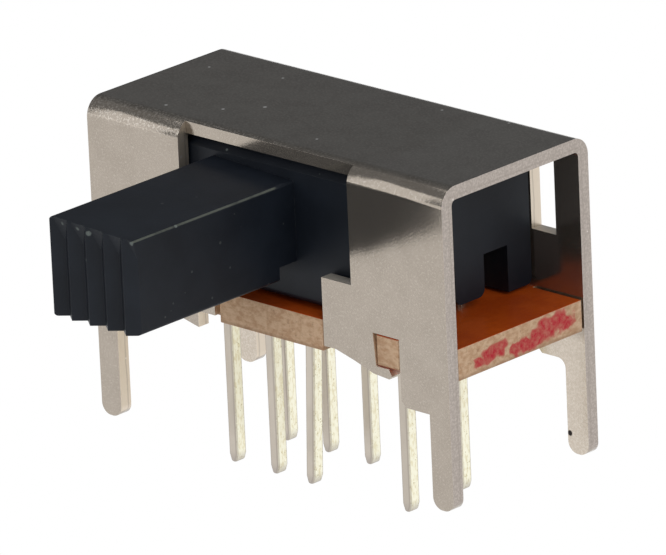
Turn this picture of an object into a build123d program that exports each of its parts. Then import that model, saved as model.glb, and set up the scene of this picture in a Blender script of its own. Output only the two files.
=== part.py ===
from build123d import *
import os

# Right-angle slide switch: two poles, three throws, pins down and handle out of the front.
# Frame: +X along the handle's travel, +Y towards the back wall, +Z up. The origin is the middle
# of the circuit board face that the switch seats on, so the pins and legs reach below Z = 0.
# All sizes are in millimetres.

# ---- terminals ----
pitch = 2.0                 # between neighbouring throw terminals, and one step of the slider
common_gap = 4.3            # from the third throw terminal to the common terminal
row_spacing = 2.66          # between the front row and the rear row
pin_width = 0.40            # along X
pin_thickness = 0.50        # along Y, the strip that the terminals are stamped from
pin_reach = 4.95            # below the circuit board face
pin_point = 0.30            # height of the tapered tip
blade_space = 1.20          # between the contact blades of neighbouring throw terminals
common_space = 1.60         # from the third throw blade to the common terminal's long blade
common_blade_tail = 0.40    # of that blade, beyond the middle of its pin
blade_height = 1.20         # above the base board
bent_pin_offset = 0.30      # how far one tired pin has been pushed over at its tip

# ---- folded steel frame ----
frame_length = 16.8
frame_width = 7.4
frame_height = 8.25         # from the circuit board face to the top
sheet = 0.50
bend_radius = 0.70          # outside
bend_skirt = 0.30           # straight wall under each bend, down to where the side plates join
window_gap = 0.075          # between the window's side and the handle at the end of its travel
window_setback = 0.40       # how far the window is cut back into the top plate
tab_reach = 1.40            # each lower tab, from the window's side towards the middle
tab_height = 2.50           # from the wall's foot up to the tab's top
foot_height = 1.45          # the wall's foot above the circuit board face
leg_width = 0.95            # the narrow leg that goes through the circuit board
leg_reach = 3.40            # below the circuit board face
leg_tip_radius = 0.42
leg_root_radius = 0.35      # inside the corner where a back leg leaves its shoulder
shoulder_width = 2.25       # the wide leg that stands on the circuit board
shoulder_chamfer = 0.22
slot_width = 1.13           # detent slots in the back wall
slot_drop = 0.90            # from the top down to the slots
slot_lift = 2.10            # from the base board's top up to the slots
last_slot_inset = 1.72      # from the frame's right end to the middle of the last slot

# ---- base board ----
board_thickness = 1.15
board_bottom = 1.25         # above the circuit board face
board_back_gap = 0.10       # the board sits forward, against the front wall
lug_length = 1.08           # along X
lug_gap = 0.03              # beside the leg and over the lug
notch_slack = 0.12          # beside the lug, on the claw's side
tongue_length = 4.90
tongue_shift = 0.10         # the tongue sits a little to the right
hole_gap = 0.02             # round each pin
board_gap = 0.02            # in front of the board

# ---- claws that hold the lugs ----
claw_thickness = 0.38
claw_reach = 0.70           # under the lug
claw_shoulder = 0.55        # of straight foot before the claw turns down
claw_sag = 0.23             # how far it has dropped a third of the way to its tip
claw_rise = 0.07            # two thirds of the way it is still this far above its tip
claw_corner = 0.12          # cut off the tip's corners
claw_gap = 0.02             # between the claw and the lug
punch_step = 0.27           # a claw struck nearer its root drops this soon
punch_tooth = 0.02          # and leaves a tooth this far below the tip
punch_hollow = 0.18         # with a hollow this high behind it

# ---- slider ----
slider_shortfall = 2.6      # the slider is this much shorter than the frame
side_gap = 0.08             # to the front and back walls
top_gap = 0.15              # to the top plate
floor_gap = 0.13            # to the base board
front_chamfer = 0.30
channel_width = 1.20
channel_height = 1.72       # above the foot of the slider
rib_gap = 0.22              # the middle rib stops short of the foot
rib_round = 0.30
wall_round = 0.25
handle_width = 3.85
handle_length = 7.45        # from the front wall's face
handle_drop = 1.12          # from the frame's top to the handle's top
handle_lift = 1.11          # from the base board's top to the handle's bottom
handle_fall = 0.18          # the moulded handle's top falls this much to the right
handle_round = 0.12
grip_ribs = 4.5
grip_depth = 0.33
grip_top_depth = 0.06       # of a groove where it has run out, at the handle's top
grip_runout = 0.90          # a groove starts to run out this far below the top
neck_gap = 0.08             # over the frame's tabs
neck_margin = 0.30          # the relief reaches this far in front of the wall

# ---- contact clips ----
clip_sheet = 0.15
clip_gap = 0.03             # to the slider
blade_gap = 0.04            # to the terminals' blades
throw_jaw = 0.60            # the jaws that wipe the throw terminals
common_wipe = 0.30          # of the common blade still held at each end of the travel
jaw_clear = 0.18            # from the jaws' lips down to the base board
jaw_flare = 0.10
jaw_shoulder = 0.35         # straight part of a jaw below the roof

# ---- detent ----
ball_diameter = 1.50
ball_gap = 0.05             # round the ball in its hole
wall_gap = 0.01             # from the ball to the back wall
detent_hole_past = 0.48     # the hole ends this far in front of the slider's middle
spring_wire = 0.20
spring_diameter = 1.10      # to the middle of the wire
spring_turns = 6
spring_gap = 0.02           # at each end of the spring

# ---- for building ----
clear_cut = 1.0             # how far a cutting block runs out past the metal
skin_cut = 0.01             # how far it runs back into an opening that is already cut
same_place = 1e-4           # edges closer than this to a place are on it

# ---- places that follow from the sizes above ----
half_length = frame_length / 2
half_width = frame_width / 2
bend_line = frame_height - bend_radius - bend_skirt
inner_width = half_width - sheet
row_y = row_spacing / 2
first_pin_x = -(2 * pitch + common_gap) / 2
pin_x = [first_pin_x + i * pitch for i in range(3)] + [-first_pin_x]
blade_width = pitch - blade_space
common_left = pin_x[-1] - common_gap + blade_width / 2 + common_space
common_right = pin_x[-1] + common_blade_tail
board_top = board_bottom + board_thickness
window_half = pitch + handle_width / 2 + window_gap
tab_top = foot_height + tab_height
notch_top = board_top + lug_gap
shoulder_left = half_length - shoulder_width
lug_right = shoulder_left - lug_gap
lug_left = lug_right - lug_length
notch_left = lug_left - notch_slack
claw_low = board_bottom - claw_thickness
claw_root = window_half - tab_reach + claw_shoulder
claw_tip = lug_left + claw_reach
slider_length = frame_length - slider_shortfall
slider_offset = -pitch / 2  # it rests midway between its left and middle positions
slider_bottom = board_top + floor_gap
slider_top = frame_height - sheet - top_gap
slider_half_width = inner_width - side_gap
channel_top = slider_bottom + channel_height
rib_half = row_y - channel_width / 2
handle_root = (slider_half_width - row_y - channel_width / 2) / 2
last_slot_x = half_length - last_slot_inset
slot_low = board_top + slot_lift
slot_high = frame_height - slot_drop
ball_z = (slot_low + slot_high) / 2
ball_offset = last_slot_x - pitch
detent_hole_depth = slider_half_width + detent_hole_past
handle_top = frame_height - handle_drop
handle_bottom = board_top + handle_lift
throw_jaw_start = first_pin_x + pitch - throw_jaw / 2
common_jaw_start = common_right - pitch - common_wipe
common_jaw_end = common_left + pitch + common_wipe


def block(x, y, z):
    """A box from the low and high value along each axis."""
    middle = ((x[0] + x[1]) / 2, (y[0] + y[1]) / 2, (z[0] + z[1]) / 2)
    return Pos(*middle) * Box(x[1] - x[0], y[1] - y[0], z[1] - z[0])


def upright_face(points, y):
    """A face in the plane of a wall, from (x, z) points."""
    return make_face(Polyline([(px, y, pz) for px, pz in points], close=True))


def plate(points, y_low, y_high):
    """A wall cut to an outline of (x, z) points."""
    return extrude(upright_face(points, y_low), y_high - y_low, dir=(0, 1, 0))


def claw_points(punched):
    """The claw's outline on the right-hand side, from the wall's foot round under the lug.

    A punched claw was struck nearer its root, which pushed a tooth of metal down there."""
    third = (claw_tip - claw_root) / 3
    if punched:
        turn = [
            (claw_root + punch_step, foot_height),
            (claw_root + punch_step, claw_low - punch_tooth),
            (claw_root + third + punch_step, claw_low + punch_hollow),
        ]
    else:
        turn = [
            (claw_root, foot_height),
            (claw_root + third, foot_height - claw_sag),
        ]
    return turn + [
        (claw_root + 2 * third, claw_low + claw_rise),
        (claw_tip - claw_corner, claw_low),
        (claw_tip, claw_low + claw_corner),
        (claw_tip - claw_corner, board_bottom - claw_gap),
        (lug_left - claw_gap, board_bottom - claw_gap),
        (notch_left, notch_top),
    ]


def side_plate(side, y_low, y_high, start_x, punched=False, root_radius=0.0):
    """One end of a wall, below the bend: panel, claw, notch, shoulder and narrow leg."""
    leg_left = half_length - leg_width
    outline = [(start_x, bend_line), (start_x, foot_height)]
    outline += claw_points(punched)
    outline += [
        (shoulder_left, notch_top),
        (shoulder_left, shoulder_chamfer),
        (shoulder_left + shoulder_chamfer, 0),
        (leg_left, 0),
        (leg_left, -leg_reach),
        (half_length, -leg_reach),
        (half_length, bend_line),
    ]
    panel = plate([(side * x, z) for x, z in outline], y_low, y_high)
    tips = panel.edges().filter_by(Axis.Y).group_by(Axis.Z)[0]
    panel = fillet(tips, leg_tip_radius)
    if root_radius > 0:
        root = panel.edges().filter_by(Axis.Y).sort_by_distance((side * leg_left, y_low, 0))[0]
        panel = fillet(root, root_radius)
    return panel


def bent_top():
    """The top plate with both bends, open at its two ends."""
    long = (-half_length, half_length)
    outside = block(long, (-half_width, half_width), (bend_line, frame_height))
    outer_edges = outside.edges().filter_by(Axis.X).group_by(Axis.Z)[-1]
    outside = fillet(outer_edges, bend_radius)
    inside = block(long, (-inner_width, inner_width), (bend_line - clear_cut, frame_height - sheet))
    inner_edges = inside.edges().filter_by(Axis.X).group_by(Axis.Z)[-1]
    inside = fillet(inner_edges, bend_radius - sheet)
    return outside - inside


def front_tab(side):
    """The lower tab that steps in from the window's side towards the middle."""
    across = sorted((side * (window_half - tab_reach), side * window_half))
    return block(across, (-half_width, -inner_width), (foot_height, tab_top))


def make_frame():
    """One folded sheet: top plate, windowed front wall and slotted back wall, each with two legs."""
    folded = bent_top()
    for side in (-1, 1):
        folded += side_plate(side, -half_width, -inner_width, window_half, punched=side < 0)
        folded += side_plate(side, inner_width, half_width, 0, root_radius=leg_root_radius)
        folded += front_tab(side)
    below_top = frame_height - sheet
    window = (-window_half, window_half)
    front = -half_width - clear_cut
    top_strip = (below_top - skin_cut, frame_height + clear_cut)
    folded -= block(window, (front, -half_width + window_setback), top_strip)
    folded -= block(window, (front, -half_width + bend_radius), (tab_top, below_top))
    for step in range(3):
        slot_x = last_slot_x - step * pitch
        across = (slot_x - slot_width / 2, slot_x + slot_width / 2)
        folded -= block(across, (inner_width - skin_cut, half_width + clear_cut), (slot_low, slot_high))
    return folded


def make_base_board():
    """Paper laminate board with a front tongue, four lugs and a hole for each pin."""
    upright = (board_bottom, board_top)
    front = -inner_width + board_gap
    back = inner_width - board_back_gap
    board = block((-half_length, half_length), (front, back), upright)
    tongue = (tongue_shift - tongue_length / 2, tongue_shift + tongue_length / 2)
    board += block(tongue, (-half_width, front), upright)
    for side in (-1, 1):
        lug = sorted((side * lug_left, side * lug_right))
        board += block(lug, (-half_width, front), upright)
        board += block(lug, (back, half_width), upright)
    hole_x = pin_width / 2 + hole_gap
    hole_y = pin_thickness / 2 + hole_gap
    for x in pin_x:
        for y in (-row_y, row_y):
            board -= block((x - hole_x, x + hole_x), (y - hole_y, y + hole_y), (0, frame_height))
    return board


def make_terminal(x, y, common=False, pushed=0.0):
    """A stamped blade on the base board, with its pin through the board and a tapered tip."""
    blade_left = x - common_left if common else blade_width / 2
    blade_right = common_blade_tail if common else blade_width / 2
    half_pin = pin_width / 2
    half_tip = half_pin / 2
    taper = -pin_reach + pin_point
    lean = pushed * (board_bottom - taper) / (board_bottom + pin_reach)
    outline = [
        (x - blade_left, board_top),
        (x - blade_left, board_top + blade_height),
        (x + blade_right, board_top + blade_height),
        (x + blade_right, board_top),
        (x + half_pin, board_top),
        (x + half_pin, board_bottom),
        (x + half_pin - lean, taper),
        (x + half_tip - pushed, -pin_reach),
        (x - half_tip - pushed, -pin_reach),
        (x - half_pin - lean, taper),
        (x - half_pin, board_bottom),
        (x - half_pin, board_top),
    ]
    return plate(outline, y - pin_thickness / 2, y + pin_thickness / 2)


def lengthwise_edges(body, y, z):
    """The edges along X at this distance from the middle plane and at this height."""
    return [
        edge for edge in body.edges().filter_by(Axis.X)
        if abs(abs(edge.center().Y) - y) < same_place and abs(edge.center().Z - z) < same_place
    ]


def slider_body():
    """The moulded body: an E section with two channels over the terminal rows."""
    long = (-slider_length / 2, slider_length / 2)
    below = slider_bottom - clear_cut
    rib_bottom = slider_bottom + rib_gap
    body = block(long, (-slider_half_width, slider_half_width), (slider_bottom, slider_top))
    for row in (-row_y, row_y):
        channel = (row - channel_width / 2, row + channel_width / 2)
        body -= block(long, channel, (below, channel_top))
    body -= block(long, (-rib_half, rib_half), (below, rib_bottom))
    body = fillet(lengthwise_edges(body, rib_half, rib_bottom), rib_round)
    body = fillet(lengthwise_edges(body, slider_half_width, slider_bottom), wall_round)
    top_front = body.edges().filter_by(Axis.X).group_by(Axis.Z)[-1].sort_by(Axis.Y)[0]
    return chamfer(top_front, front_chamfer)


def slider_handle():
    """The long handle, with upright grip ribs across its end and a relief over the frame's tabs."""
    half = handle_width / 2
    root_y = -slider_half_width
    crest_y = -half_width - handle_length
    groove_y = crest_y + grip_depth
    rib_pitch = handle_width / grip_ribs
    plan = [(half, root_y + handle_root), (-half, root_y + handle_root), (-half, crest_y)]
    for rib in range(int(grip_ribs)):
        plan.append((-half + (rib + 1 / 2) * rib_pitch, groove_y))
        plan.append((-half + (rib + 1) * rib_pitch, crest_y))
    plan.append((half, groove_y))
    outline = make_face(Polyline([(px, py, handle_bottom) for px, py in plan], close=True))
    handle = extrude(outline, handle_top - handle_bottom, dir=(0, 0, 1))
    runout = [
        (-half, groove_y, handle_top - grip_runout),
        (-half, crest_y + grip_top_depth, handle_top),
        (-half, groove_y, handle_top),
    ]
    handle += extrude(make_face(Polyline(runout, close=True)), handle_width, dir=(1, 0, 0))
    fall = Plane(
        origin=(-half, 0, handle_top),
        x_dir=(handle_width, 0, -handle_fall),
        z_dir=(handle_fall, 0, handle_width),
    )
    handle = split(handle, bisect_by=fall, keep=Keep.BOTTOM)
    long_edges = handle.edges().filter_by(Axis.Y).filter_by(lambda e: e.length > handle_length / 2)
    handle = fillet(long_edges, handle_round)
    neck_bottom = tab_top + neck_gap
    relief = (-half_width - neck_margin, root_y)
    across = (-half - clear_cut, half + clear_cut)
    return handle - block(across, relief, (handle_bottom - clear_cut, neck_bottom))


def make_slider():
    """Body and handle in one moulding, with seats for the clips and a hole for the detent."""
    slider = slider_body() + slider_handle()
    seat = (throw_jaw_start - clip_gap, common_jaw_end + clip_gap)
    for row in (-row_y, row_y):
        channel = (row - channel_width / 2, row + channel_width / 2)
        slider -= block(seat, channel, (channel_top - skin_cut, channel_top + clip_sheet + clip_gap))
    hole = Cylinder(ball_diameter / 2 + ball_gap, detent_hole_depth, rotation=(90, 0, 0))
    slider -= Pos(ball_offset, slider_half_width - detent_hole_depth / 2, ball_z) * hole
    return Pos(slider_offset, 0, 0) * slider


def jaw_profile(side, row):
    """A jaw's bent strip as (y, z) points: in from the roof to the blade, then out to a lip."""
    roof = channel_top + clip_sheet / 2
    lip = board_top + jaw_clear
    pinch_z = board_top + blade_height / 2
    pinch_y = pin_thickness / 2 + blade_gap + clip_sheet / 2
    edge_y = channel_width / 2 - clip_gap - clip_sheet / 2
    return [
        (row + side * edge_y, roof),
        (row + side * edge_y, roof - jaw_shoulder),
        (row + side * pinch_y, pinch_z),
        (row + side * (pinch_y + jaw_flare), lip),
    ]


def jaw(side, row, x_low, x_high):
    """One jaw of a clip, bent from sheet and as long as x_low to x_high."""
    line = Polyline([(x_low, py, pz) for py, pz in jaw_profile(side, row)])
    strip = offset(line, clip_sheet / 2, kind=Kind.INTERSECTION, side=Side.BOTH)
    face = make_face(strip)
    return extrude(face, x_high - x_low, dir=(1, 0, 0))


def make_clip(row):
    """A knife clip: a roof strip in the slider's seat, and two pairs of jaws on the blades."""
    roof_half = channel_width / 2 - clip_gap
    roof = (row - roof_half, row + roof_half)
    clip = block((throw_jaw_start, common_jaw_end), roof, (channel_top, channel_top + clip_sheet))
    for side in (-1, 1):
        clip += jaw(side, row, throw_jaw_start, throw_jaw_start + throw_jaw)
        clip += jaw(side, row, common_jaw_start, common_jaw_end)
    return Pos(slider_offset, 0, 0) * clip


def ball_centre():
    """The ball bears on the flat of the back wall between two slots."""
    return (slider_offset + ball_offset, inner_width - wall_gap - ball_diameter / 2, ball_z)


def make_detent_ball():
    return Pos(*ball_centre()) * Sphere(ball_diameter / 2)


def make_detent_spring():
    """An open coil between the bottom of its hole and the ball."""
    x, y, z = ball_centre()
    reach = (ball_diameter + spring_wire) / 2 + spring_gap
    ball_end = y - (reach**2 - (spring_diameter / 2) ** 2) ** 0.5
    hole_end = slider_half_width - detent_hole_depth + spring_wire / 2 + spring_gap
    height = ball_end - hole_end
    path = Helix(height / spring_turns, height, spring_diameter / 2)
    section = Plane(origin=path @ 0, z_dir=path % 0) * Circle(spring_wire / 2)
    coil = sweep(section, path=path, is_frenet=True)
    return Pos(x, hole_end, z) * Rot(-90, 0, 0) * coil


def make_all():
    """Every sub-part, by its node's name."""
    parts = {"frame": make_frame(), "base_board": make_base_board()}
    for name, y in (("front", -row_y), ("rear", row_y)):
        for number, x in enumerate(pin_x, start=1):
            pushed = bent_pin_offset if (name, number) == ("front", 3) else 0.0
            parts[f"terminal_{name}_{number}"] = make_terminal(x, y, common=number == 4, pushed=pushed)
        parts[f"contact_clip_{name}"] = make_clip(y)
    parts["slider"] = make_slider()
    parts["detent_ball"] = make_detent_ball()
    parts["detent_spring"] = make_detent_spring()
    return parts


os.makedirs("parts", exist_ok=True)
for node, shape in make_all().items():
    export_step(shape, f"parts/{node}.step")
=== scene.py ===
# %% [markdown]
# # A right-angle slide switch
# A small slide switch is a folded steel frame over a base board of brown laminate, with a black
# slider inside whose long handle comes out of the front. The frame and the pins are stamped, so
# what makes them look real is their edges: one side rolled over by the punch, the other burred.
# The shapes come from the construction model. Each one is copied, its triangles are merged, and
# its edges are finished here, because a stamped or moulded edge is never a perfect corner.

# %% Load the construction model
import bpy
import math
from mathutils import Euler, Matrix, Vector


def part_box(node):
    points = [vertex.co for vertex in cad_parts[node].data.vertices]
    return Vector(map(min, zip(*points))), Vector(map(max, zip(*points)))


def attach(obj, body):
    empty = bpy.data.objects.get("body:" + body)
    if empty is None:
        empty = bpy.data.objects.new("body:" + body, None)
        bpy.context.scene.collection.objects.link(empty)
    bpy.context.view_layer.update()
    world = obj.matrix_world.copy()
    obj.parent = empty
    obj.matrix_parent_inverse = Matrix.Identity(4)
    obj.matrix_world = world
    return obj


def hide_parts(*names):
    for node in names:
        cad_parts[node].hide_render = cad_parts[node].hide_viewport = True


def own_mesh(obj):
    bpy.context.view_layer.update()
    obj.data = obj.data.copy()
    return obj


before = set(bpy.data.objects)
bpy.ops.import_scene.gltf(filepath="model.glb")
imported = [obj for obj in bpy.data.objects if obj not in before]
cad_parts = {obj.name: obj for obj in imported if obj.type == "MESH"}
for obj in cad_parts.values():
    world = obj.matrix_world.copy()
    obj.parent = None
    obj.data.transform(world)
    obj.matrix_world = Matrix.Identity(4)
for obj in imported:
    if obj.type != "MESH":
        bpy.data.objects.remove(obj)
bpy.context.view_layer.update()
MM = 0.001
print("nodes:", sorted(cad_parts))

# %% [markdown]
# ## Edges
# A stamped sheet has small round edges where the punch went in and a fine burr where it came out.
# The round could be painted as a bright line, but then the outline would stay razor sharp. A bevel
# on the edges sharper than an angle gives it at the real size of a few hundredths of a millimetre.
# The burr is finer still, so both sides get the same bevel. The construction model's triangles are
# merged first, and triangles that lie in one plane are joined, so that the bevel follows only the
# real edges.

# %% A copy of a construction piece
SAME_POINT = 0.0005 * MM
SAME_PLANE = math.radians(0.5)
SMOOTH_BELOW = math.radians(40)
BEVEL_FROM = math.radians(30)
LARGE_FACES_FIRST = 100


def select_only(piece):
    bpy.ops.object.select_all(action="DESELECT")
    piece.select_set(True)
    bpy.context.view_layer.objects.active = piece


def merged_copy(node, name):
    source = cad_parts[node]
    piece = bpy.data.objects.new(name, source.data.copy())
    bpy.context.scene.collection.objects.link(piece)
    piece.data.materials.clear()
    select_only(piece)
    bpy.ops.object.mode_set(mode="EDIT")
    bpy.ops.mesh.select_all(action="SELECT")
    bpy.ops.mesh.remove_doubles(threshold=SAME_POINT)
    bpy.ops.mesh.dissolve_limited(angle_limit=SAME_PLANE)
    bpy.ops.object.mode_set(mode="OBJECT")
    print(piece.name, "merged:", len(piece.data.polygons), "faces")
    return piece


# %% [markdown]
# ## The bevel
# The bevel puts its new faces in a second material slot. That is read once, to remember them as
# worn edges, and they then go back to the first slot. Last, the large flat faces set the direction
# that light sees at their borders, so that a mirror-like wall doesn't look bent.


# %% Bevelled edges
def round_edges(piece, width, segments):
    """Bevel the sharp edges, and remember the new narrow faces as worn edges."""
    select_only(piece)
    piece.data.materials.append(None)  # slot 0, the faces that stay
    piece.data.materials.append(None)  # slot 1, the new faces
    bevel = piece.modifiers.new("round edges", "BEVEL")
    bevel.width = width
    bevel.segments = segments
    bevel.limit_method = "ANGLE"
    bevel.angle_limit = BEVEL_FROM
    bevel.use_clamp_overlap = True
    bevel.material = 1
    bpy.ops.object.modifier_apply(modifier=bevel.name)
    worn = piece.data.attributes.new("worn_edge", "FLOAT", "FACE")
    for face in piece.data.polygons:
        worn.data[face.index].value = float(face.material_index == 1)
        face.material_index = 0
    bpy.ops.object.shade_smooth_by_angle(angle=SMOOTH_BELOW)
    flat_first = piece.modifiers.new("flat faces stay flat", "WEIGHTED_NORMAL")
    flat_first.keep_sharp = True
    flat_first.weight = LARGE_FACES_FIRST
    bpy.ops.object.modifier_apply(modifier=flat_first.name)


# %% [markdown]
# ## Rounder places
# A few places are more worn than the rest, such as the board's lugs and the handle's end. Their
# edges are picked by their place and get a wider bevel before the others.


# %% Chosen edges
def round_chosen(piece, chosen, width, segments=3):
    """Bevel only the edges whose two ends both pass a test of their place in millimetres."""
    select_only(piece)
    bpy.ops.object.mode_set(mode="EDIT")
    bpy.ops.mesh.select_all(action="DESELECT")
    bpy.ops.mesh.select_mode(type="EDGE")
    bpy.ops.object.mode_set(mode="OBJECT")
    places = [vertex.co / MM for vertex in piece.data.vertices]
    for edge in piece.data.edges:
        edge.select = all(chosen(places[end]) for end in edge.vertices)
    print(piece.name, "edges chosen:", sum(edge.select for edge in piece.data.edges))
    bpy.ops.object.mode_set(mode="EDIT")
    bpy.ops.mesh.bevel(offset=width, segments=segments, affect="EDGES", clamp_overlap=True)
    bpy.ops.object.mode_set(mode="OBJECT")


# %% [markdown]
# ## A finished piece
# Each finished copy takes the place of a construction node. It says which moving body it belongs
# to, and which finish it gets.


# %% Finishing a piece
def finish_piece(piece, node, body, material):
    piece.data.materials.clear()
    piece.data.materials.append(material)
    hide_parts(node)
    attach(piece, body)
    print(piece.name, "faces", len(piece.data.polygons))


# %% [markdown]
# ## Building materials
# Every finish here is a mix of a few effects: grain, specks and worn edges. Each effect is made
# once, as a node group with named values, and every material uses it at its own strength. A small
# helper adds a node and joins its inputs, which keeps each recipe short enough to read.


# %% A helper for node recipes
def node(tree, kind, values=None, **settings):
    made = tree.nodes.new(kind)
    for key, value in settings.items():
        setattr(made, key, value)
    for key, value in (values or {}).items():
        socket = made.inputs[key]
        if isinstance(value, bpy.types.NodeSocket):
            tree.links.new(value, socket)
        else:
            socket.default_value = value
    return made


def math_node(tree, operation, a, b=0.0):
    return node(tree, "ShaderNodeMath", {0: a, 1: b}, operation=operation).outputs[0]


def times(tree, a, b):
    return math_node(tree, "MULTIPLY", a, b)


def plus(tree, a, b):
    return math_node(tree, "ADD", a, b)


def size_of(tree, value):
    """The value without its sign."""
    return math_node(tree, "ABSOLUTE", value)


# %% Mixing and limits
def blend(tree, amount, low, high):
    """The low colour where amount is 0 and the high colour where it is 1."""
    made = node(tree, "ShaderNodeMix", data_type="RGBA")
    for index, value in ((0, amount), (6, low), (7, high)):
        if isinstance(value, bpy.types.NodeSocket):
            tree.links.new(value, made.inputs[index])
        else:
            made.inputs[index].default_value = value
    return made.outputs[2]


def step(tree, value, low, high):
    """0 at low and 1 at high, with a smooth rise between. Low may be the larger number."""
    made = node(tree, "ShaderNodeMapRange",
                {"Value": value, "From Min": low, "From Max": high},
                interpolation_type="SMOOTHSTEP")
    return made.outputs["Result"]


def colour(red, green, blue):
    """A colour given as it looks on screen, from 0 to 255, as the linear value that shaders use."""
    linear = []
    for level in (red, green, blue):
        share = level / 255
        linear.append(share / 12.92 if share <= 0.04045 else ((share + 0.055) / 1.055) ** 2.4)
    return (*linear, 1.0)


def place_in_mm(tree):
    """The place on the piece in millimetres, as one vector."""
    place = node(tree, "ShaderNodeTexCoord").outputs["Object"]
    scaled = node(tree, "ShaderNodeVectorMath", {0: place, 1: (1 / MM,) * 3}, operation="MULTIPLY")
    return scaled.outputs[0]


# %% A helper for node groups
def group(name, inputs, outputs):
    made = bpy.data.node_groups.new(name, "ShaderNodeTree")
    for label, kind, value in inputs:
        socket = made.interface.new_socket(label, in_out="INPUT", socket_type=kind)
        socket.default_value = value
    for label, kind in outputs:
        made.interface.new_socket(label, in_out="OUTPUT", socket_type=kind)
    return made, made.nodes.new("NodeGroupInput").outputs, made.nodes.new("NodeGroupOutput").inputs


# %% [markdown]
# ## Grain
# Rolled and plated sheet, moulded plastic and pressed laminate all have a fine grain. It is
# counted in grains per millimetre. The group gives the grain twice: as a height for a bump, and
# as a value that shifts the colour a little.

# %% Grain group
FLOAT = "NodeSocketFloat"
VECTOR = "NodeSocketVector"
grain_group, given, result = group(
    "grain",
    [("Grains per mm", FLOAT, 10.0), ("Stretch", VECTOR, (1, 1, 1))],
    [("Fine", FLOAT), ("Cloudy", FLOAT)])
stretch = node(grain_group, "ShaderNodeVectorMath",
               {0: place_in_mm(grain_group), 1: given["Stretch"]}, operation="MULTIPLY")
stretched = stretch.outputs[0]
fine = node(grain_group, "ShaderNodeTexNoise",
            {"Vector": stretched, "Scale": given["Grains per mm"], "Detail": 3.0, "Roughness": 0.6})
CLOUDS_PER_GRAIN = 0.09
slow = times(grain_group, given["Grains per mm"], CLOUDS_PER_GRAIN)
cloudy = node(grain_group, "ShaderNodeTexNoise",
              {"Vector": stretched, "Scale": slow, "Detail": 4.0, "Roughness": 0.55})
grain_group.links.new(fine.outputs["Fac"], result["Fine"])
grain_group.links.new(cloudy.outputs["Fac"], result["Cloudy"])
print("grain group:", len(grain_group.nodes), "nodes")

# %% [markdown]
# ## Specks
# Dust and tiny plating bumps show as a few bright dots. Voronoi cells give one dot in each cell.
# A second value, random for each cell, leaves most of the cells empty.

# %% Specks group
specks_group, given, result = group(
    "specks",
    [("Cells per mm", FLOAT, 1.0), ("Share", FLOAT, 0.2), ("Size", FLOAT, 0.15)],
    [("Mask", FLOAT)])
cells = node(specks_group, "ShaderNodeTexVoronoi",
             {"Vector": place_in_mm(specks_group), "Scale": given["Cells per mm"]})
chance = node(specks_group, "ShaderNodeSeparateColor", {0: cells.outputs["Color"]})
kept = math_node(specks_group, "LESS_THAN", chance.outputs[0], given["Share"])
size = times(specks_group, given["Size"], chance.outputs[1])
inside = math_node(specks_group, "LESS_THAN", cells.outputs["Distance"], size)
specks_group.links.new(times(specks_group, kept, inside), result["Mask"])
print("specks group:", len(specks_group.nodes), "nodes")

# %% [markdown]
# ## Worn edges
# The bevels were remembered as an attribute when they were made, so wear can stay on them. It
# comes in patches, so noise breaks it up.

# %% Worn edge group
edge_group, given, result = group(
    "worn edge",
    [("Patches per mm", FLOAT, 4.0), ("Cover", FLOAT, 0.5)],
    [("Mask", FLOAT)])
worn = node(edge_group, "ShaderNodeAttribute", attribute_name="worn_edge").outputs["Fac"]
patches = node(edge_group, "ShaderNodeTexNoise",
               {"Vector": place_in_mm(edge_group), "Scale": given["Patches per mm"], "Detail": 4.0})
PATCH_SOFTNESS = 0.08
bare = math_node(edge_group, "SUBTRACT", 1.0, given["Cover"])
low = math_node(edge_group, "SUBTRACT", bare, PATCH_SOFTNESS)
high = plus(edge_group, bare, PATCH_SOFTNESS)
patchy = step(edge_group, patches.outputs["Fac"], low, high)
edge_group.links.new(times(edge_group, worn, patchy), result["Mask"])
print("worn edge group:", len(edge_group.nodes), "nodes")

# %% [markdown]
# ## The start of every material
# Each material starts from one Principled shader with its metallic value and roughness. The groups
# above are placed in it with their own values. Patterns read the place on the piece in millimetres
# and the way that the surface faces, so no piece has to be unwrapped.


# %% Start of every material
def new_material(name, metallic, roughness):
    made = bpy.data.materials.new(name)
    made.use_nodes = True
    tree = made.node_tree
    surface = tree.nodes["Principled BSDF"]
    surface.inputs["Metallic"].default_value = metallic
    surface.inputs["Roughness"].default_value = roughness
    return made, tree, surface


def use(tree, source, **values):
    placed = tree.nodes.new("ShaderNodeGroup")
    placed.node_tree = source
    for key, value in values.items():
        placed.inputs[key.replace("_", " ")].default_value = value
    return placed.outputs


def bump(tree, surface, height, depth_mm, strength=1.0):
    made = node(tree, "ShaderNodeBump",
                {"Strength": strength, "Distance": depth_mm * MM, "Height": height})
    tree.links.new(made.outputs["Normal"], surface.inputs["Normal"])


def direction(tree):
    """How far the surface faces each axis, then its place in millimetres, by axis and whole."""
    facing = node(tree, "ShaderNodeNewGeometry").outputs["Normal"]
    in_mm = place_in_mm(tree)
    return (node(tree, "ShaderNodeSeparateXYZ", {0: facing}).outputs,
            node(tree, "ShaderNodeSeparateXYZ", {0: in_mm}).outputs, in_mm)


# %% [markdown]
# ## Marks
# Some marks belong to one place: a dust speck on the top, a dot on a leg, a smear of ink. They
# could be painted on an image, but a mask made from a few points stays sharp from close by and
# needs no file. Each mark is the space within a small distance of a point. Noise added to the
# distance makes its outline ragged, so it doesn't look stamped.

# %% A helper for marks
MARK_SOFTNESS = 0.25


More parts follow.
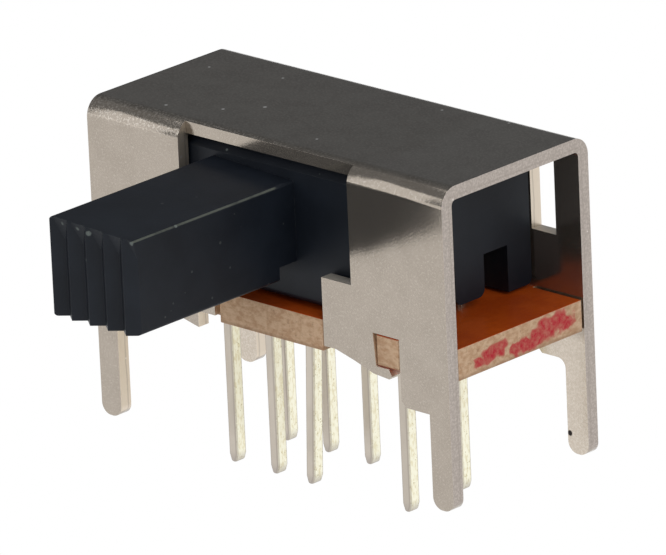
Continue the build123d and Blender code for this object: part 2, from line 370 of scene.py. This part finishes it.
def marks(tree, in_mm, places, ragged=0.0, stretch=(1, 1, 1)):
    """A mask that is 1 within each (x, y, z, radius) in millimetres, and 0 elsewhere."""
    noise = node(tree, "ShaderNodeTexNoise", {"Vector": in_mm, "Scale": 3.0, "Detail": 3.0})
    wobble = times(tree, math_node(tree, "SUBTRACT", noise.outputs["Fac"], 0.5), ragged)
    total = 0.0
    for x, y, z, radius in places:
        offset = node(tree, "ShaderNodeVectorMath", {0: in_mm, 1: (x, y, z)}, operation="SUBTRACT")
        squeezed = node(tree, "ShaderNodeVectorMath", {0: offset.outputs[0], 1: stretch},
                        operation="MULTIPLY")
        far = node(tree, "ShaderNodeVectorMath", {0: squeezed.outputs[0]}, operation="LENGTH")
        ragged_far = plus(tree, far.outputs["Value"], wobble)
        near = step(tree, ragged_far, radius * (1 + MARK_SOFTNESS), radius * (1 - MARK_SOFTNESS))
        total = math_node(tree, "MAXIMUM", near, total)
    return total


# %% [markdown]
# ## Plated steel
# The frame is cold-rolled steel with a dull tin plating. It is a metal, so most of its look is
# what it mirrors, and it needs little roughness for the handle to show in the panel beside it.
# Its recipe is built up in layers, from the plain sheet to the marks of each tool. Where a layer
# lies is worked out from the frame's own box, so the layers follow the frame's size.

# %% Plated steel: the sheet
HALF_LENGTH, HALF_WIDTH, TOP = (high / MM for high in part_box("frame")[1])
plated_steel, tree, surface = new_material("plated steel", 0.9, 0.2)
facing, at, in_mm = direction(tree)
grain = use(tree, grain_group, Grains_per_mm=13.0)
cloudy = step(tree, grain["Cloudy"], 0.3, 0.7)
base = blend(tree, cloudy, colour(179, 169, 157), colour(173, 163, 151))
base = blend(tree, step(tree, grain["Fine"], 0.48, 0.80), base, colour(198, 189, 178))
print("frame reaches", [round(high, 2) for high in (HALF_LENGTH, HALF_WIDTH, TOP)], "mm")

# %% Plated steel: the top plate's colour is painted darker, as painted shade, and holds a few specks of dust
upward = step(tree, facing["Z"], 0.85, 0.995)
# painted shade: the upward faces get a darker colour, which stands in for the dim room that the top
# mirrors
painted_dark_top = blend(tree, cloudy, colour(128, 123, 115), colour(117, 111, 103))
painted_dark_top = blend(tree, step(tree, grain["Fine"], 0.42, 0.70), painted_dark_top, colour(146, 140, 132))
base = blend(tree, upward, base, painted_dark_top)
dust = marks(tree, in_mm, [
    (-5.60, -2.58, TOP, 0.06), (-7.31, 1.36, TOP, 0.05), (-3.67, -1.73, TOP, 0.06),
    (-2.64, -0.71, TOP, 0.07), (-4.34, 1.99, TOP, 0.05), (1.22, -2.18, TOP, 0.05),
    (2.59, 2.67, TOP, 0.05), (5.42, 3.00, TOP, 0.05)])
base = blend(tree, dust, base, colour(250, 248, 244))

# %% [markdown]
# ## Bends
# The folding tool stretches the outside of each bend, which breaks the plating into bright
# specks. A bend is where the surface is near both the top and a side, and faces between the two.

# %% Plated steel: specks on the bends
BEND_RADIUS = 0.7
SPECKS_FADE_FROM, SPECKS_FULL_AT = 3.0, -2.0
FEWEST_SPECKS = 0.15
from_side = math_node(tree, "SUBTRACT", HALF_WIDTH, size_of(tree, at["Y"]))
from_top = math_node(tree, "SUBTRACT", TOP, at["Z"])
on_bend = times(tree, step(tree, from_side, BEND_RADIUS, BEND_RADIUS * 0.7),
                step(tree, from_top, BEND_RADIUS * 1.2, BEND_RADIUS * 0.6))
bent = size_of(tree, times(tree, facing["Y"], facing["Z"]))
on_bend = times(tree, on_bend, step(tree, bent, 0.02, 0.15))
to_the_left = step(tree, at["X"], SPECKS_FADE_FROM, SPECKS_FULL_AT)
share = plus(tree, FEWEST_SPECKS, times(tree, to_the_left, 1 - FEWEST_SPECKS))
on_bend = times(tree, on_bend, share)
speckled = times(tree, on_bend, step(tree, grain["Fine"], 0.48, 0.62))
base = blend(tree, times(tree, speckled, 0.4), base, colour(232, 224, 214))

# %% [markdown]
# ## Cut edges
# Where the sheet was cut, bare steel shows. A punch shears the first part of the thickness and
# tears the rest, which leaves a faint line along the cut. Ledges that the punch left, such as the
# foot of a slot, are bright too, though they face up like the top, whose colour is painted darker.

# %% Plated steel: ledges and cut ends
TORN_LINE_DEPTH = 0.42
ledge = times(tree, upward, step(tree, at["Z"], TOP - 0.5, TOP - 1.0))
base = blend(tree, ledge, base, colour(244, 236, 224))
cut_face = step(tree, size_of(tree, facing["X"]), 0.8, 0.95)
fine_cut = step(tree, grain["Fine"], 0.4, 0.65)
sheared = blend(tree, fine_cut, colour(174, 164, 156), colour(196, 186, 178))
punched = step(tree, size_of(tree, at["X"]), HALF_LENGTH - 0.1, HALF_LENGTH - 0.3)
sheared = blend(tree, punched, sheared, colour(232, 219, 201))
depth = math_node(tree, "MINIMUM", from_side, from_top)
depth = plus(tree, depth, times(tree, grain["Cloudy"], 0.12))
from_line = size_of(tree, math_node(tree, "SUBTRACT", depth, TORN_LINE_DEPTH))
torn = times(tree, step(tree, from_line, 0.05, 0.01), 0.4)
sheared = blend(tree, torn, sheared, colour(160, 150, 141))
glints = use(tree, specks_group, Cells_per_mm=4.5, Share=0.3, Size=0.3)
sheared = blend(tree, times(tree, glints["Mask"], 0.6), sheared, colour(244, 237, 230))
base = blend(tree, cut_face, base, sheared)

# %% Plated steel: worn edges, a painted sheen on the back legs, and a spot
edge = use(tree, edge_group, Patches_per_mm=7.0, Cover=0.62)
base = blend(tree, edge["Mask"], base, colour(240, 230, 219))
# painted highlight: the inner side of the back legs is lightened to stand in for the bright floor
# that it mirrors
faces_forward = step(tree, facing["Y"], -0.8, -0.95)
painted_highlight = times(tree, faces_forward, step(tree, at["Y"], 3.0, 3.1))
painted_highlight = times(tree, painted_highlight, step(tree, at["Z"], 1.3, 0.7))
sheen_grain = step(tree, grain["Fine"], 0.30, 0.75)
bright = blend(tree, sheen_grain, colour(210, 198, 183), colour(230, 220, 206))
base = blend(tree, times(tree, painted_highlight, 0.75), base, bright)
spot = marks(tree, in_mm, [(7.55, 3.2, -2.70, 0.10)], ragged=0.06)
base = blend(tree, spot, base, colour(40, 34, 32))
tree.links.new(base, surface.inputs["Base Color"])

# %% Plated steel: roughness
rough = node(tree, "ShaderNodeMapRange", {"Value": grain["Fine"], "To Min": 0.10, "To Max": 0.18})
rough = plus(tree, rough.outputs[0], times(tree, cut_face, 0.25))
rough = plus(tree, rough, times(tree, ledge, 0.4))
tree.links.new(rough, surface.inputs["Roughness"])

# %% [markdown]
# ## A wall that isn't quite flat
# A folded wall is never quite flat, and a mirror shows it. The upper part leans back by about half
# a degree and the right end flares out by about two. That is far too little to see in the outline,
# but it moves what the wall mirrors, so a bump is enough for it. The slopes are heights per length,
# and a smooth maximum lets each of them begin without a crease.

# %% Plated steel: lean, flare and grain
LEAN_START = 4.6
LEAN_SLOPE = 0.010
FLARE_START = 4.6
FLARE_SLOPE = 0.034
SLOPE_EASE = 0.35
GRAIN_HEIGHT = 0.0018
BEND_SPECK_HEIGHT = 0.0009


def past(tree, value, start):
    """How far the value is past its start, and 0 before it."""
    beyond = math_node(tree, "SUBTRACT", value, start)
    return node(tree, "ShaderNodeMath", {0: beyond, 1: 0.0, 2: SLOPE_EASE},
                operation="SMOOTH_MAX").outputs[0]


height = times(tree, past(tree, at["Z"], LEAN_START), -LEAN_SLOPE)
height = plus(tree, height, times(tree, past(tree, at["X"], FLARE_START), FLARE_SLOPE))
height = plus(tree, height, times(tree, grain["Fine"], GRAIN_HEIGHT))
height = plus(tree, height, times(tree, speckled, BEND_SPECK_HEIGHT))
bump(tree, surface, height, 1.0)
print("plated steel:", len(tree.nodes), "nodes")

# %% [markdown]
# ## Base board
# The board is paper laminate soaked with phenolic resin. Its pressed faces are glossy and
# orange-brown. Its edges were sheared, which breaks the resin into a pale, fibrous band with dark
# bits. The right end still carries a smear of red ink. One material serves both: the way that the
# surface faces tells a pressed face from a sheared edge, so a change of shape needs no repainting.

# %% Laminate: faces and sheared edges
laminate, tree, surface = new_material("laminate", 0.0, 0.25)
facing, at, in_mm = direction(tree)
grain = use(tree, grain_group, Grains_per_mm=6.0)
fibre = use(tree, grain_group, Grains_per_mm=4.2, Stretch=(1.0, 1.0, 1.6))
cloudy = step(tree, grain["Cloudy"], 0.3, 0.7)
face = blend(tree, cloudy, colour(198, 86, 26), colour(180, 72, 20))
fibrous = step(tree, fibre["Fine"], 0.30, 0.68)
sheared = blend(tree, fibrous, colour(188, 148, 114), colour(214, 182, 150))
dark_bits = times(tree, step(tree, grain["Fine"], 0.60, 0.72), 0.5)
sheared = blend(tree, dark_bits, sheared, colour(150, 112, 82))
torn_foot = times(tree, step(tree, at["Z"], 1.42, 1.30), 0.35)
sheared = blend(tree, torn_foot, sheared, colour(130, 92, 66))

# %% Laminate: the ink on the right end
right_end = step(tree, at["X"], HALF_LENGTH - 0.2, HALF_LENGTH - 0.1)
ink = marks(tree, in_mm, [
    (8.4, -2.10, 1.62, 0.20), (8.4, -1.60, 1.74, 0.30), (8.4, -1.10, 1.84, 0.28),
    (8.4, -0.35, 1.56, 0.24), (8.4, 0.20, 1.62, 0.28), (8.4, 0.75, 1.72, 0.34),
    (8.4, 1.30, 1.88, 0.40), (8.4, 1.85, 1.96, 0.36), (8.4, 2.35, 1.82, 0.28)],
    ragged=0.6, stretch=(1, 0.7, 1))
ink = times(tree, ink, right_end)
thin = node(tree, "ShaderNodeMapRange",
            {"Value": grain["Fine"], "From Min": 0.35, "From Max": 0.65,
             "To Min": 0.68, "To Max": 1.0}).outputs[0]
sheared = blend(tree, times(tree, ink, thin), sheared, colour(186, 18, 42))

# %% Laminate: glossy faces, matt edges
flat = step(tree, size_of(tree, facing["Z"]), 0.55, 0.75)
base = blend(tree, flat, sheared, face)
tree.links.new(base, surface.inputs["Base Color"])
rough = node(tree, "ShaderNodeMapRange", {"Value": flat, "To Min": 0.75, "To Max": 0.22})
tree.links.new(rough.outputs[0], surface.inputs["Roughness"])
bump(tree, surface, fibre["Fine"], 0.03, 0.6)
print("laminate:", len(tree.nodes), "nodes")

# %% [markdown]
# ## Black plastic
# The slider is moulded in black plastic with a dull skin. Handling scuffs its edges to a pale
# greenish grey. The skin reflects little, so its specular level is low: plain roughness alone
# would leave a haze over the black. The worn edges come from the bevels, and the rest from marks.

# %% Black plastic: skin and worn edges
black_plastic, tree, surface = new_material("black plastic", 0.0, 0.48)
surface.inputs["Specular IOR Level"].default_value = 0.27
_, at, in_mm = direction(tree)
grain = use(tree, grain_group, Grains_per_mm=7.0)
edge = use(tree, edge_group, Patches_per_mm=2.2, Cover=0.46)
specks = use(tree, specks_group, Cells_per_mm=2.2, Share=0.25, Size=0.12)
cloudy = step(tree, grain["Cloudy"], 0.3, 0.7)
base = blend(tree, cloudy, colour(13, 19, 28), colour(20, 26, 35))
base = blend(tree, times(tree, specks["Mask"], 0.3), base, colour(96, 100, 98))
base = blend(tree, times(tree, edge["Mask"], 0.45), base, colour(98, 103, 98))

# %% Black plastic: a painted highlight along the handle's edge, and scuffed places
# painted highlight: a pale line along the handle's upper right-hand edge stands in for the light
# that its rounded edge catches
HANDLE_EDGE = (0.89, 0, 6.91)
HANDLE_FROM, HANDLE_FULL = -3.9, -4.1
from_edge = node(tree, "ShaderNodeVectorMath", {0: in_mm, 1: HANDLE_EDGE}, operation="SUBTRACT")
across = node(tree, "ShaderNodeVectorMath", {0: from_edge.outputs[0], 1: (1, 0, 1)},
              operation="MULTIPLY")
near_edge = node(tree, "ShaderNodeVectorMath", {0: across.outputs[0]}, operation="LENGTH")
painted_highlight = times(tree, step(tree, near_edge.outputs["Value"], 0.055, 0.02),
               step(tree, at["Y"], HANDLE_FROM, HANDLE_FULL))
painted_highlight = times(tree, painted_highlight, step(tree, grain["Cloudy"], 0.30, 0.50))
base = blend(tree, times(tree, painted_highlight, 0.6), base, colour(104, 108, 98))
scuffs = marks(tree, in_mm, [
    (-2.40, -11.1, 6.90, 0.09), (-1.70, -11.1, 6.86, 0.10), (-1.10, -11.1, 6.84, 0.10),
    (-1.35, -11.1, 5.85, 0.07), (0.85, -11.0, 6.86, 0.08), (0.92, -8.90, 6.92, 0.07),
    (-2.30, -3.05, 7.40, 0.05), (2.10, -3.05, 7.42, 0.05)], ragged=0.14)
base = blend(tree, times(tree, scuffs, 0.6), base, colour(120, 128, 124))
tree.links.new(base, surface.inputs["Base Color"])
bump(tree, surface, grain["Fine"], 0.006, 0.5)
print("black plastic:", len(tree.nodes), "nodes")

# %% [markdown]
# ## Terminals
# The pins are stamped from plated brass strip. Their broad faces are smooth and silvery. The two
# sheared sides are rough, with marks along the way that the punch travelled, and catch a warm
# light. Tips and some of the edges are greyer. Grain stretched along the pin gives the drawn marks.

# %% Terminal material
DULL_FROM, DULL_AT = -4.45, -4.90
terminal_metal, tree, surface = new_material("terminal metal", 1.0, 0.3)
facing, at, _ = direction(tree)
grain = use(tree, grain_group, Grains_per_mm=11.0, Stretch=(1.0, 1.0, 0.4))
dots = use(tree, specks_group, Cells_per_mm=13.0, Share=0.4, Size=0.5)
edge = use(tree, edge_group, Patches_per_mm=6.0, Cover=0.7)
sheared_side = step(tree, size_of(tree, facing["X"]), 0.5, 0.8)
cloudy = step(tree, grain["Cloudy"], 0.3, 0.7)
smooth = blend(tree, cloudy, colour(206, 197, 185), colour(192, 183, 171))
drawn = step(tree, grain["Fine"], 0.35, 0.55)
rough_side = blend(tree, drawn, colour(236, 228, 196), colour(255, 252, 230))
rough_side = blend(tree, times(tree, dots["Mask"], 0.5), rough_side, colour(176, 164, 112))
base = blend(tree, sheared_side, smooth, rough_side)
base = blend(tree, times(tree, edge["Mask"], 0.5), base, colour(160, 150, 140))
dull_tip = step(tree, at["Z"], DULL_FROM, DULL_AT)
base = blend(tree, times(tree, dull_tip, 0.6), base, colour(168, 160, 154))
tree.links.new(base, surface.inputs["Base Color"])
bump(tree, surface, grain["Fine"], 0.01, 0.7)
print("terminal metal:", len(tree.nodes), "nodes")

# %% [markdown]
# ## Hidden metals
# The knife clips, the ball and the spring sit inside, and only glimpses of them show through the
# slots. They still get their own finishes. A metal seen so little needs only its colour, its
# roughness and some grain, so one function makes all three.


# %% Clip, ball and spring materials
def plain_metal(name, tint, shade, roughness, grains):
    made, tree, surface = new_material(name, 1.0, roughness)
    grain = use(tree, grain_group, Grains_per_mm=grains)
    base = blend(tree, step(tree, grain["Cloudy"], 0.3, 0.7), tint, shade)
    tree.links.new(base, surface.inputs["Base Color"])
    bump(tree, surface, grain["Fine"], 0.003, 0.5)
    print(name + ":", len(tree.nodes), "nodes")
    return made


clip_bronze = plain_metal("clip bronze", colour(205, 160, 110), colour(180, 134, 88), 0.3, 8.0)
ball_steel = plain_metal("ball steel", colour(205, 205, 208), colour(190, 190, 194), 0.12, 3.0)
spring_steel = plain_metal("spring steel", colour(190, 190, 190), colour(165, 165, 165), 0.25, 9.0)

# %% [markdown]
# ## Frame
# The frame is one folded sheet. Its copy gets edges a twentieth of a millimetre wide, which is a
# tenth of the sheet. Two segments are enough at that size.

# %% Frame
SHEET_EDGE = 0.05 * MM
steel_frame = merged_copy("frame", "steel_frame")
round_edges(steel_frame, SHEET_EDGE, segments=2)
finish_piece(steel_frame, "frame", "housing", plated_steel)

# %% [markdown]
# ## Base board
# Laminate crumbles where the claws grip its lugs, so the lugs' outer edges are rounder than the
# rest. They are the edges at the frame's full width, near its ends.

# %% Base board
LUG_EDGE, BOARD_EDGE = 0.10 * MM, 0.03 * MM
LUGS_FROM = 5.0
AT_FULL_WIDTH = HALF_WIDTH - 0.02
laminate_board = merged_copy("base_board", "laminate_board")
round_chosen(laminate_board,
             lambda at: abs(at.y) > AT_FULL_WIDTH and abs(at.x) > LUGS_FROM,
             LUG_EDGE)
round_edges(laminate_board, BOARD_EDGE, segments=2)
finish_piece(laminate_board, "base_board", "housing", laminate)

# %% [markdown]
# ## Slider
# A moulding has softer edges than a stamping: the cutter leaves small radii in the mould, and
# plastic doesn't fill a sharp corner. The end of the handle is touched most, so its edges are a
# little rounder again. They are the edges near the slider's front end.

# %% Slider
HANDLE_END_EDGE, MOULDED_EDGE = 0.09 * MM, 0.07 * MM
handle_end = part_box("slider")[0].y / MM
moulded_slider = merged_copy("slider", "moulded_slider")
round_chosen(moulded_slider, lambda at: at.y < handle_end + 0.5, HANDLE_END_EDGE)
round_edges(moulded_slider, MOULDED_EDGE, segments=3)
finish_piece(moulded_slider, "slider", "slide", black_plastic)

# %% [markdown]
# ## Pins
# The eight terminals are stamped from strip, stand in two rows of four, and are finished alike.
# They are separate pieces and differ a little in shape, so each has its own copy, made in a loop.

# %% Terminals
PIN_EDGE = 0.08 * MM
for row in ("front", "rear"):
    for number in (1, 2, 3, 4):
        pin = merged_copy(f"terminal_{row}_{number}", f"pin_{row}_{number}")
        round_edges(pin, PIN_EDGE, segments=3)
        finish_piece(pin, f"terminal_{row}_{number}", "housing", terminal_metal)

# %% [markdown]
# ## Detent
# A ball and a coil spring hold the slider at each position. The spring shortens as the ball is
# pressed in. The ball only needs its triangles merged, so that its skin is closed.

# %% Spring
coil_spring = merged_copy("detent_spring", "coil_spring")
bpy.ops.object.shade_smooth_by_angle(angle=SMOOTH_BELOW)
finish_piece(coil_spring, "detent_spring", "slide", spring_steel)
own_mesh(coil_spring)

# %% Ball
bearing_ball = merged_copy("detent_ball", "bearing_ball")
bpy.ops.object.shade_smooth_by_angle(angle=SMOOTH_BELOW)
finish_piece(bearing_ball, "detent_ball", "ball", ball_steel)

# %% [markdown]
# ## Contact clips
# The two clips are bent from thin bronze strip, too thin for a bevel to show. They keep the
# construction shape and only get their finish.

# %% Clips
for name in ("contact_clip_front", "contact_clip_rear"):
    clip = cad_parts[name]
    clip.data.materials.clear()
    clip.data.materials.append(clip_bronze)
    print(name, "faces", len(clip.data.polygons))

# %% [markdown]
# ## Studio
# A pale floor and a white surround, lit by large soft lamps. White is what the camera sees of the
# surround. What the metal mirrors is a bright floor below and a dim room above, so the walls look
# light and the top looks dark, as plated steel does on a pale table in a dim room.

# %% Floor
FLOOR_LEVEL = -4.95 * MM
FLOOR_GAP = 0.01 * MM
FLOOR_SIZE = 1.2
bpy.ops.object.select_all(action="DESELECT")
bpy.ops.mesh.primitive_plane_add(size=FLOOR_SIZE, location=(0, 0, FLOOR_LEVEL - FLOOR_GAP))
floor = bpy.context.active_object
floor.name = "floor"
floor_paint = bpy.data.materials.new("floor paint")
floor_paint.use_nodes = True
tree = floor_paint.node_tree
tree.nodes.clear()
ray = node(tree, "ShaderNodeLightPath").outputs
seen = math_node(tree, "MAXIMUM", ray["Is Camera Ray"],
                 math_node(tree, "MAXIMUM", ray["Is Glossy Ray"], ray["Is Transmission Ray"]))
white = node(tree, "ShaderNodeEmission", {"Color": (1, 1, 1, 1), "Strength": 1.0})
matt = node(tree, "ShaderNodeBsdfDiffuse", {"Color": colour(235, 235, 232)})
mixed = node(tree, "ShaderNodeMixShader", {0: seen, 1: matt.outputs[0], 2: white.outputs[0]})
node(tree, "ShaderNodeOutputMaterial", {"Surface": mixed.outputs[0]})
floor.data.materials.append(floor_paint)
print("floor at", round(floor.location.z / MM, 2), "mm")

# %% Surround
ROOM_GLOW = 0.19
world = bpy.data.worlds.new("studio")
bpy.context.scene.world = world
world.use_nodes = True
tree = world.node_tree
tree.nodes.clear()
ray = node(tree, "ShaderNodeLightPath").outputs
plain = node(tree, "ShaderNodeBackground", {"Color": (1, 1, 1, 1), "Strength": 1.0})
dim = node(tree, "ShaderNodeBackground", {"Color": (0.95, 0.97, 1.0, 1), "Strength": ROOM_GLOW})
seen = math_node(tree, "MAXIMUM", ray["Is Camera Ray"], ray["Is Transmission Ray"])
mixed = node(tree, "ShaderNodeMixShader", {0: seen, 1: dim.outputs[0], 2: plain.outputs[0]})
node(tree, "ShaderNodeOutputWorld", {"Surface": mixed.outputs[0]})

# %% [markdown]
# ## Lamps
# Large square lamps give soft, broad reflections, as a window with a curtain does. The key lamp
# stands to the right, and weaker ones fill the front, the left and the top. A lamp's energy grows
# with its area, so its glow is what is set, and its size can change without changing how bright
# its reflection looks.


# %% Lamps
LAMP_DISTANCE = 0.30


def lamp(name, glow, size, azimuth, elevation):
    """A square soft lamp aimed at the switch, from an azimuth (0 is in front) and an elevation."""
    light = bpy.data.lights.new(name, "AREA")
    light.energy = glow * math.pi * size**2
    light.size = size
    shining = bpy.data.objects.new(name, light)
    bpy.context.scene.collection.objects.link(shining)
    a, e = math.radians(azimuth), math.radians(elevation)
    back = Vector((math.sin(a) * math.cos(e), -math.cos(a) * math.cos(e), math.sin(e)))
    shining.location = back * LAMP_DISTANCE
    shining.rotation_euler = back.to_track_quat("Z", "Y").to_euler()
    print(name, "lamp:", round(light.energy, 3), "W")


lamp("key", glow=2.2, size=0.24, azimuth=80, elevation=32)
lamp("front", glow=1.55, size=0.20, azimuth=0, elevation=24)
lamp("left", glow=0.9, size=0.20, azimuth=-46, elevation=17)
lamp("overhead", glow=1.1, size=0.26, azimuth=20, elevation=86)

# %% [markdown]
# ## Camera
# A long lens from far away keeps the switch's upright edges nearly parallel, as in a catalogue
# picture of a small part.

# %% Camera
view_azimuth = 44.0774
view_elevation = 19.2976
view_roll = -2.5776
view_from = Vector((233.089, -241.151, 119.788)) * MM
sensor_width = 36.0
lens_in_widths = 15.378378

camera_data = bpy.data.cameras.new("camera")
camera = bpy.data.objects.new("camera", camera_data)
bpy.context.scene.collection.objects.link(camera)
bpy.context.scene.camera = camera
camera_data.sensor_width = sensor_width
camera_data.lens = sensor_width * lens_in_widths
camera_data.clip_start = 0.01
camera_data.clip_end = 10.0
level = Euler((math.radians(90 - view_elevation), 0, math.radians(view_azimuth)), "XYZ").to_matrix()
roll = Matrix.Rotation(math.radians(view_roll), 3, "Z")
camera.matrix_world = Matrix.Translation(view_from) @ (level @ roll).to_4x4()
bpy.context.scene.view_settings.view_transform = "Standard"
print("camera at", [round(c / MM, 1) for c in view_from], "lens", round(camera_data.lens, 1))
